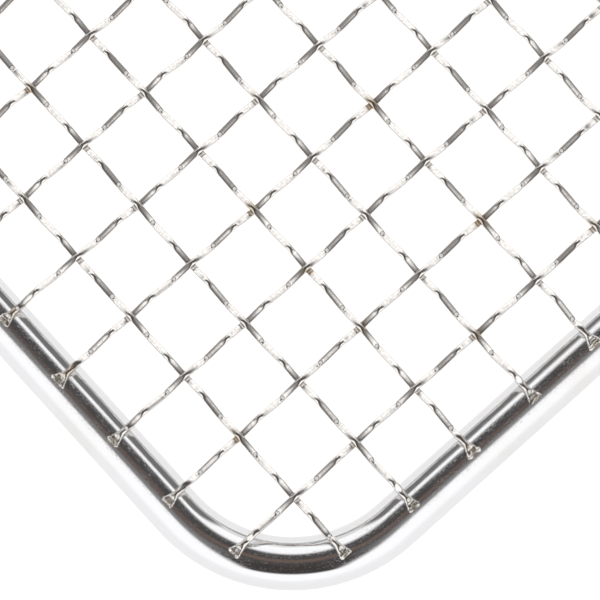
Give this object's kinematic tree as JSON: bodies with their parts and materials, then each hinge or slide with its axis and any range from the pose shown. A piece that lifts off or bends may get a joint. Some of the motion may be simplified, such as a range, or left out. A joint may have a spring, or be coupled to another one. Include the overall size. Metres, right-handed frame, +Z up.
{
  "type": "cooling rack",
  "caption": "Flat wire cooling rack: a woven crimped wire mesh welded on top of a thick bent rod rim, with a brace rod under it, so that air passes below baked goods.",
  "frame": {"origin": "middle of the rack in plan, on the surface that it stands on", "axes": "+X along the long side, +Y along the short side, +Z up through the mesh"},
  "size_m": [0.42, 0.297, 0.0095],
  "materials": {
    "rod_plating": "bright plating on a drawn steel rod, with faint draw lines and brownish tarnish near bends and welds",
    "wire_plating": "bright plating on thin steel wire, darker and warmer at the crimps and welds"
  },
  "bodies": {
    "root": {"rim_rod": "rod_plating", "brace_rod": "rod_plating", "long_wire_01": "wire_plating", "long_wire_02": "wire_plating", "long_wire_03": "wire_plating", "long_wire_04": "wire_plating", "long_wire_05": "wire_plating", "long_wire_06": "wire_plating", "long_wire_07": "wire_plating", "long_wire_08": "wire_plating", "long_wire_09": "wire_plating", "long_wire_10": "wire_plating", "long_wire_11": "wire_plating", "long_wire_12": "wire_plating", "long_wire_13": "wire_plating", "long_wire_14": "wire_plating", "long_wire_15": "wire_plating", "long_wire_16": "wire_plating", "long_wire_17": "wire_plating", "long_wire_18": "wire_plating", "long_wire_19": "wire_plating", "long_wire_20": "wire_plating", "long_wire_21": "wire_plating", "long_wire_22": "wire_plating", "long_wire_23": "wire_plating", "cross_wire_01": "wire_plating", "cross_wire_02": "wire_plating", "cross_wire_03": "wire_plating", "cross_wire_04": "wire_plating", "cross_wire_05": "wire_plating", "cross_wire_06": "wire_plating", "cross_wire_07": "wire_plating", "cross_wire_08": "wire_plating", "cross_wire_09": "wire_plating", "cross_wire_10": "wire_plating", "cross_wire_11": "wire_plating", "cross_wire_12": "wire_plating", "cross_wire_13": "wire_plating", "cross_wire_14": "wire_plating", "cross_wire_15": "wire_plating", "cross_wire_16": "wire_plating", "cross_wire_17": "wire_plating", "cross_wire_18": "wire_plating", "cross_wire_19": "wire_plating", "cross_wire_20": "wire_plating", "cross_wire_21": "wire_plating", "cross_wire_22": "wire_plating", "cross_wire_23": "wire_plating", "cross_wire_24": "wire_plating", "cross_wire_25": "wire_plating", "cross_wire_26": "wire_plating", "cross_wire_27": "wire_plating", "cross_wire_28": "wire_plating", "cross_wire_29": "wire_plating", "cross_wire_30": "wire_plating", "cross_wire_31": "wire_plating", "cross_wire_32": "wire_plating", "cross_wire_33": "wire_plating"}
  },
  "joints": []
}
